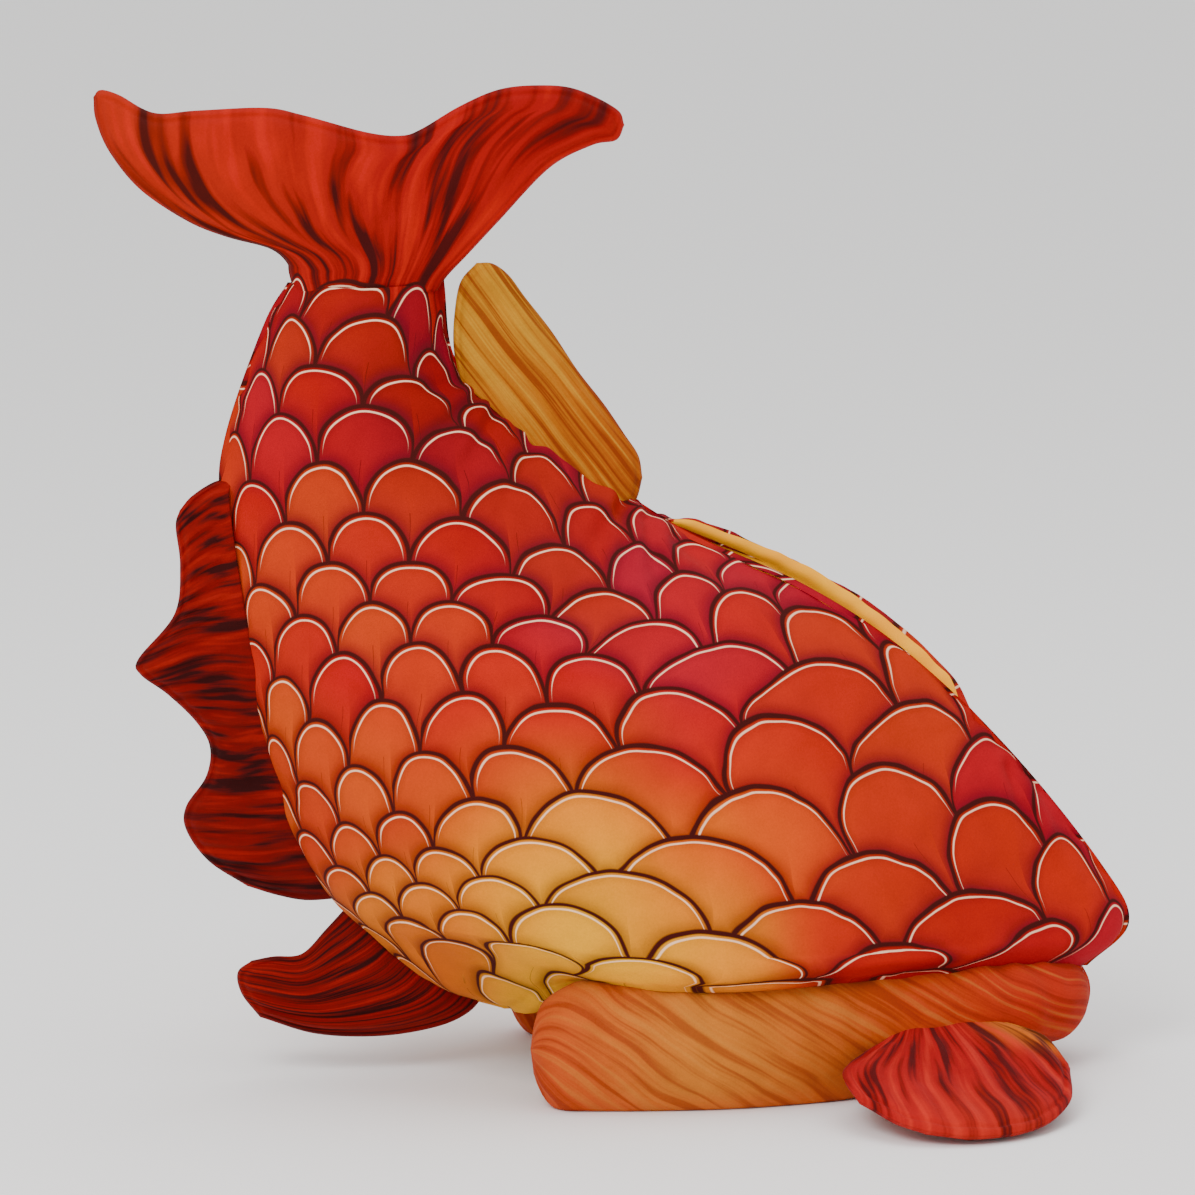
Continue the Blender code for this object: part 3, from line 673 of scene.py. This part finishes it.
def make_lining(material):
    """Satin sheets inside the head cavity, gathered together at the crown, and the slit's facings."""
    columns, rows, crown = LINING_GRID
    u_line = np.linspace(0, 1, columns)
    v_line = np.concatenate([np.linspace(LINING_START, CROWN_V, rows), np.full(crown, CROWN_V)])
    close = np.concatenate([np.zeros(rows), np.linspace(0, 1, crown + 1)[1:]])
    v, u = np.meshgrid(v_line, u_line, indexing="ij")
    points = trunk_surface(u, v, np.full(u.shape, WALL))
    middle = points[rows - 1, :, :].mean(axis=0) * (1, 0, 1)
    points = points + (middle - points) * close[:, None, None] * (1, 1, 0)
    points[..., 1] = np.minimum(points[..., 1], -0.0004)
    points[..., 2] += 0.010 * np.sin(close * math.pi / 2)[:, None]
    free = (u > 0.03) & (u < 0.97) & (close < 0.99)[:, None]
    points = points + normals_of(points) * (0.0012 * lumps(points, 0.02, 4.4) * free)[..., None]
    points[:, 0, 1] = -0.0001
    for side in ("left", "right"):
        placed = points if side == "left" else mirrored(points)
        obj = mesh_piece(f"head_lining_{side}", placed, grid_faces(*u.shape, flip=side == "left"), {})
        dress(obj, material, "hood")
        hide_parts(f"lining_{side}", *(["lining_crown"] if side == "left" else []))
    deep = np.linspace(0, 1, 12)
    v, t = np.meshgrid(np.linspace(*SLIT_AT, 120), deep, indexing="ij")
    gap = slit_gap(v)
    edge = trunk_surface(np.ones(v.shape), v, 0.0045 + (WALL - 0.0045) * t)
    ease_in = ease((gap - 0.002) / 0.006)
    roll = 0.0022 * np.sin(math.pi * np.clip(t * 1.6, 0, 1)) * ease_in
    strip = np.stack([edge[..., 0] + 0.0025 * (1 - t) * ease_in, -np.maximum(gap - 0.0006 - roll, 0.0004),
                      edge[..., 2] + 0.0018 * (1 - t) * ease_in], -1)
    strip += 0.0007 * lumps(strip, 0.012, 9.1)[..., None] * (ease_in[..., None])
    strip[..., 1] = np.minimum(strip[..., 1], -0.0003)
    for side, drop in (("left", -LIP_DROP), ("right", LIP_DROP)):
        placed = strip + np.array([0.62, 0.0, 0.78]) * (drop * ease_in * (1 - t))[..., None]
        placed = placed if side == "left" else mirrored(placed)
        obj = mesh_piece(f"slit_facing_{side}", placed, grid_faces(*v.shape, flip=side == "left"), {})
        dress(obj, material, "hood")
        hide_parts(f"face_facing_{side}")


# ---- fins ----

def rim_distance(flat, rim):
    """How far each point lies from the rim."""
    fine = at_share(rim, np.linspace(0, 1, 1600))
    tree = kdtree.KDTree(len(fine))
    for k, (a, b) in enumerate(fine):
        tree.insert((a, b, 0.0), k)
    tree.balance()
    return np.array([tree.find((a, b, 0.0))[2] for a, b in flat.reshape(-1, 2)]).reshape(flat.shape[:-1])


def fin_piece(name, edges, spec, place, dyes, material):
    """A stuffed fin: two printed panels sewn round the rim, with a topstitched groove and soft ribs.
    spec is (half depth at the root, half depth near the rim, ribs, rib height, stitched margin)."""
    root_deep, rim_deep, ribs, rib_high, margin = spec
    columns, rows = FIN_GRID[name.split("_")[0]]
    bunch = np.linspace(0, 1, columns)
    across = (1 - np.cos(math.pi * bunch)) / 2 * 0.6 + bunch * 0.4
    along = np.sin(np.linspace(0, 1, rows) * math.pi / 2) * 0.6 + np.linspace(0, 1, rows) * 0.4
    flat = patch(edges, across, along)
    off = rim_distance(flat, np.concatenate([flat[:, 0], flat[-1, 1:], flat[::-1, -1]]))
    t, s = np.meshgrid(across, along)
    deep = root_deep + (rim_deep - root_deep) * ease(s * 1.6)
    body = dome(off / (deep * 3.2))
    groove = np.exp(-((off - margin) / 0.0011) ** 2) * 0.0012 * ease(s * 4)
    solid = np.stack([flat[..., 0], 0 * t, flat[..., 1]], -1)
    wave = np.cos(2 * math.pi * ribs * t + 1.5 * lumps(solid, 0.05, 7.3))
    rib = rib_high * wave * ease(off / (margin * 2.5)) * ease(s * 3) * (0.6 + 0.4 * s)
    soft = 0.0009 * lumps(solid, 0.022, 2.9) * ease(off / 0.01)
    soft += 0.0003 * lumps(solid, 0.007, 1.2) * ease(off / 0.005)
    lift = np.maximum(deep * body - groove + rib + soft, 0.0) * ease(off / 0.0012)
    sway = FIN_SWAY * ease(s * 1.2) * lumps(solid, 0.09, 5.5)
    x_mm, z_mm = flat[..., 0] * 1000, flat[..., 1] * 1000
    dye = dyed(dyes, x_mm, z_mm)
    grain = np.stack([t, s, 0 * t], -1)
    if name.startswith("anal"):
        grain = np.stack([(x_mm * 0.79 + z_mm * 0.61) / 60, (z_mm * 0.79 - x_mm * 0.61) / 120, 0 * t], -1)
    attributes = {"dye": dye, "grain": grain}
    if name.startswith("tail"):
        attributes.update(scale_print(*above_trunk(flat)))
        share = np.exp(-(z_mm - TAIL_SEAM_MM) / 12)[..., None]
        attributes["dye"] = dye * (1 - share) + dyed(TRUNK_DYES, x_mm, z_mm) * share
    front, back = place(flat, lift + sway), place(flat, -lift + sway)
    points = np.concatenate([front, back])
    n = rows * columns
    rim_ids = [(r, 0) for r in range(rows)] + [(rows - 1, c) for c in range(1, columns)] \
        + [(r, columns - 1) for r in range(rows - 2, -1, -1)]
    joined = {n + r * columns + c: r * columns + c for r, c in rim_ids}
    faces = grid_faces(rows, columns)
    for quad in grid_faces(rows, columns, flip=True, start=n):
        faces.append(tuple(joined.get(k, k) for k in quad))
    for c in range(columns - 1):
        cap = (c + 1, c, joined.get(n + c, n + c), joined.get(n + c + 1, n + c + 1))
        faces.append(tuple(dict.fromkeys(cap)))
    keep = np.array([k for k in range(2 * n) if k not in joined])
    number = {int(k): i for i, k in enumerate(keep)}
    faces = [tuple(number[k] for k in face) for face in faces]
    twice = {key: np.concatenate([value, value]).reshape((2 * n,) + value.shape[2:])[keep]
             for key, value in attributes.items()}
    obj = mesh_piece(name, points.reshape(-1, 3)[keep], faces, twice)
    return dress(obj, material)


def above_trunk(flat):
    """Points of the tail, and the flank coordinates that they would have if the trunk went on upwards."""
    top_back, top_belly = BACK[-1, 0], BELLY[-1, 0]
    s = np.clip((flat[..., 0] - top_back) / (top_belly - top_back), 0.0, 1.0)
    u = np.arccos(1 - 2 * s) / math.pi
    v = 1 + (flat[..., 1] - BACK[-1, 1]) / TRUNK_LENGTH
    return np.stack([flat[..., 0], 0 * s, flat[..., 1]], -1), u, v


def upright(flat, lift):
    """The middle plane, with the left side towards -Y."""
    return np.stack([flat[..., 0], -lift, flat[..., 1]], -1)


def make_fins(streaked):
    tail = fin_piece("tail_plush", TAIL, (0.0205, 0.0125, 9, 0.0012, 0.0035), upright, TAIL_DYES,
                     streaked["scales"])
    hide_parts("tail_fin_panel_left", "tail_fin_panel_right", "tail_fin_filling")
    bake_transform(tail)
    dorsal = fin_piece("dorsal_plush", DORSAL, (0.0075, 0.0055, 24, 0.0016, 0.0028), upright, DORSAL_DYES,
                       streaked["dark"])
    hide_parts("dorsal_fin_panel_left", "dorsal_fin_panel_right", "dorsal_fin_filling")
    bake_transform(dorsal)
    heel = fin_piece("heel_plush", HEEL, (0.0085, 0.0065, 5, 0.0016, 0.0028), upright, HEEL_DYES_AND_PAINTED_SHADE,
                     streaked["dark"])
    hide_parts("heel_fin_panel_left", "heel_fin_panel_right", "heel_fin_filling")
    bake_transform(heel)
    anal = fin_piece("anal_plush", ANAL, (0.0085, 0.0075, 3, 0.0006, 0.0024), upright, ANAL_DYES,
                     streaked["yellow"])
    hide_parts("anal_fin_panel_left", "anal_fin_panel_right", "anal_fin_filling")
    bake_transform(anal)
    for side, sign in (("left", 1), ("right", -1)):
        start, end = (Vector(p) for p in PECTORAL_HINGE)
        seam = (end - start).normalized()
        outwards = Vector((seam.y, -seam.x, 0))
        down = outwards * math.cos(PECTORAL_SLOPE) - Vector((0, 0, math.sin(PECTORAL_SLOPE)))
        up = -seam.cross(down)

        def sloped(flat, lift):
            spot = (np.array(start) + flat[..., :1] * np.array(seam) + flat[..., 1:] * np.array(down)
                    + lift[..., None] * np.array(up))
            return spot * np.array([1.0, sign, 1.0])

        fin = fin_piece(f"pectoral_{side}_plush", PECTORAL, (0.0050, 0.0062, 8, 0.0012, 0.0042), sloped,
                        PECTORAL_DYES, streaked["crimson"])
        body = f"pectoral_{side}"
        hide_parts(f"{body}_panel_top", f"{body}_panel_under", f"{body}_filling")
        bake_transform(fin)


# ---- collar ----

def make_collar(material):
    """Two padded arms that meet at the front. Each ends in a rounded, gathered tip."""
    rows, columns = 190, 72
    share_line = np.linspace(0, 1, rows)
    angle_line = np.linspace(0, 2 * math.pi, columns, endpoint=False)
    share, angle = np.meshgrid(share_line, angle_line, indexing="ij")
    path = at_share(ARM, share_line)
    run = np.gradient(path, axis=0)
    run /= np.linalg.norm(run, axis=1, keepdims=True)
    run[-1] = (0.0, 1.0)
    side = np.stack([run[:, 1], -run[:, 0]], -1)
    half, bottom, top = (np.interp(path[:, 0], *np.array(table).T)
                         for table in (ARM_HALF_WIDTH, ARM_BOTTOM, ARM_TOP))
    tip = dome(share_line * ARM_LENGTH / ARM_TIP)
    middle, tall = (bottom + top) / 2, (top - bottom) / 2
    out = half[:, None] * np.cos(angle) * tip[:, None]
    up = tall[:, None] * np.sin(angle) * tip[:, None]
    up = np.where(up < 0, np.maximum(up * 1.12, -tall[:, None]), up)
    points = np.stack([path[:, :1] + side[:, :1] * out, path[:, 1:] + side[:, 1:] * out,
                       middle[:, None] + up], -1)
    gather = np.exp(-share * ARM_LENGTH / 0.010) * 0.0012 * np.cos(angle * 9)
    turn = share * ARM_LENGTH / 0.0085 * 2 * math.pi / 3
    drag = 0.0010 * np.sin(turn + 1.6 * np.sin(angle) + 3 * lumps(points, 0.05, 3.3))
    drag *= ease((points[..., 2] - 0.012) / 0.02)
    puff = 0.0014 * lumps(points, 0.035, 6.1) + 0.0005 * lumps(points, 0.010, 2.5)
    puff *= ease(points[..., 2] / 0.01)
    normal = normals_of(np.concatenate([points, points[:, :1]], axis=1))[:, :-1]
    core = np.stack([path[:, 0], path[:, 1], middle], -1)[:, None, :]
    outward = points - core
    normal *= np.sign((normal * outward).sum(-1).mean())
    points = points + normal * ((gather + drag * 0.6 + puff) * ease(share * 40))[..., None]
    points[..., 2] = np.maximum(points[..., 2], 0.0002)
    points[..., 1] = np.minimum(points[..., 1], -0.0002)
    points[-1, :, 1] = -0.0002
    dye = dyed(COLLAR_DYES, points[..., 0] * 1000, points[..., 2] * 1000)
    # Darker and redder towards the bottom: the lowest 14 mm are mixed up to 35% of the way towards a deep
    # red-orange.
    edge = ease((0.014 - points[..., 2]) / 0.014)[..., None]
    dye = dye * (1 - 0.35 * edge) + np.array(linear("#D2501E")[:3]) * 0.35 * edge
    grain = np.stack([share + 0.16 * np.sin(angle), 0.5 * np.sin(angle), 0 * share], -1)
    for name, placed in (("left", points), ("right", mirrored(points))):
        flat = np.concatenate([placed.reshape(-1, 3), placed[0].mean(0)[None], placed[-1].mean(0)[None]])
        faces = grid_faces(rows, columns, wrap=True, flip=name == "left")
        n = rows * columns
        for c in range(columns):
            d = (c + 1) % columns
            low, high = (n, c, d), (n + 1, n - columns + d, n - columns + c)
            faces += [low, high] if name == "right" else [low[::-1], high[::-1]]
        ends = [np.concatenate([a.reshape(-1, 3), a[0, :1], a[-1, :1]]) for a in (dye, grain)]
        obj = mesh_piece(f"collar_arm_{name}", flat, faces, {"dye": ends[0], "grain": ends[1]})
        dress(obj, material, "hood")
        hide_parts(f"collar_top_{name}", f"collar_base_{name}", f"collar_filling_{name}")


# ---- studio ----

def make_studio():
    """A pale floor, a large soft light over the left shoulder and a second one from above; the long lens, a
    little behind square, is set in make_camera.
    """
    floor = bpy.data.meshes.new("floor")
    floor.from_pydata([(-30, -30, 0), (30, -30, 0), (30, 30, 0), (-30, 30, 0)], [], [(0, 1, 2, 3)])
    sheet = bpy.data.objects.new("floor", floor)
    bpy.context.scene.collection.objects.link(sheet)
    paint = bpy.data.materials.new("matt_white_paint")
    paint.use_nodes = True
    paint.node_tree.nodes["Principled BSDF"].inputs["Base Color"].default_value = (0.9, 0.9, 0.9, 1)
    paint.node_tree.nodes["Principled BSDF"].inputs["Roughness"].default_value = 0.9
    floor.materials.append(paint)
    world = bpy.data.worlds.new("studio")
    world.use_nodes = True
    background = world.node_tree.nodes["Background"]
    background.inputs[0].default_value = (1.0, 0.99, 0.98, 1.0)
    background.inputs[1].default_value = 1.15
    bpy.context.scene.world = world
    for name, spot, size, power in (("key_light", (-0.9, -1.6, 1.7), 1.1, 38.0),
                                    ("top_light", (0.3, 0.2, 2.0), 1.6, 14.0)):
        lamp = bpy.data.lights.new(name, "AREA")
        lamp.size = size
        lamp.energy = power
        held = bpy.data.objects.new(name, lamp)
        held.location = spot
        aim = Vector((0.0, 0.0, 0.22)) - Vector(spot)
        held.rotation_euler = aim.to_track_quat("-Z", "Y").to_euler()
        bpy.context.scene.collection.objects.link(held)


def make_camera():
    azimuth, elevation = math.radians(-5.0), math.radians(11.0)
    distance, frame_width, sensor = 5.0, 0.5975, 36.0
    right = Vector((math.cos(azimuth), math.sin(azimuth), 0))
    ahead = Vector((-math.sin(azimuth) * math.cos(elevation), math.cos(azimuth) * math.cos(elevation),
                    -math.sin(elevation)))
    up = right.cross(ahead)
    target = right * -0.01025 + up * 0.23525
    camera = bpy.data.cameras.new("camera")
    camera.sensor_width = sensor
    camera.lens = distance * sensor / frame_width
    held = bpy.data.objects.new("camera", camera)
    held.location = target - ahead * distance
    held.rotation_euler = ahead.to_track_quat("-Z", "Y").to_euler()
    bpy.context.scene.collection.objects.link(held)
    bpy.context.scene.camera = held


satin = yellow_satin()
scales = printed_scale_plush()
LATTICE = lay_out_print()
make_trunk(scales)
make_lining(satin)
make_fins({
    "scales": scales,
    "dark": streaked_plush("velboa_printed_dark_red_streaks", "#3C0604", "#C83A28", 30, 1.0, "#FF8070"),
    "yellow": streaked_plush("velboa_printed_amber_streaks", "#A8500C", "#E8C050", 18, 0.9, "#FFE0A0"),
    "crimson": streaked_plush("velboa_printed_crimson_streaks", "#6A0814", "#F06048", 15, 1.0, "#FF9AA0")})
make_collar(streaked_plush("velboa_printed_orange_streaks", "#A8300A", "#E8B060", 30, 0.6, "#FFC8A0"))
make_studio()
make_camera()
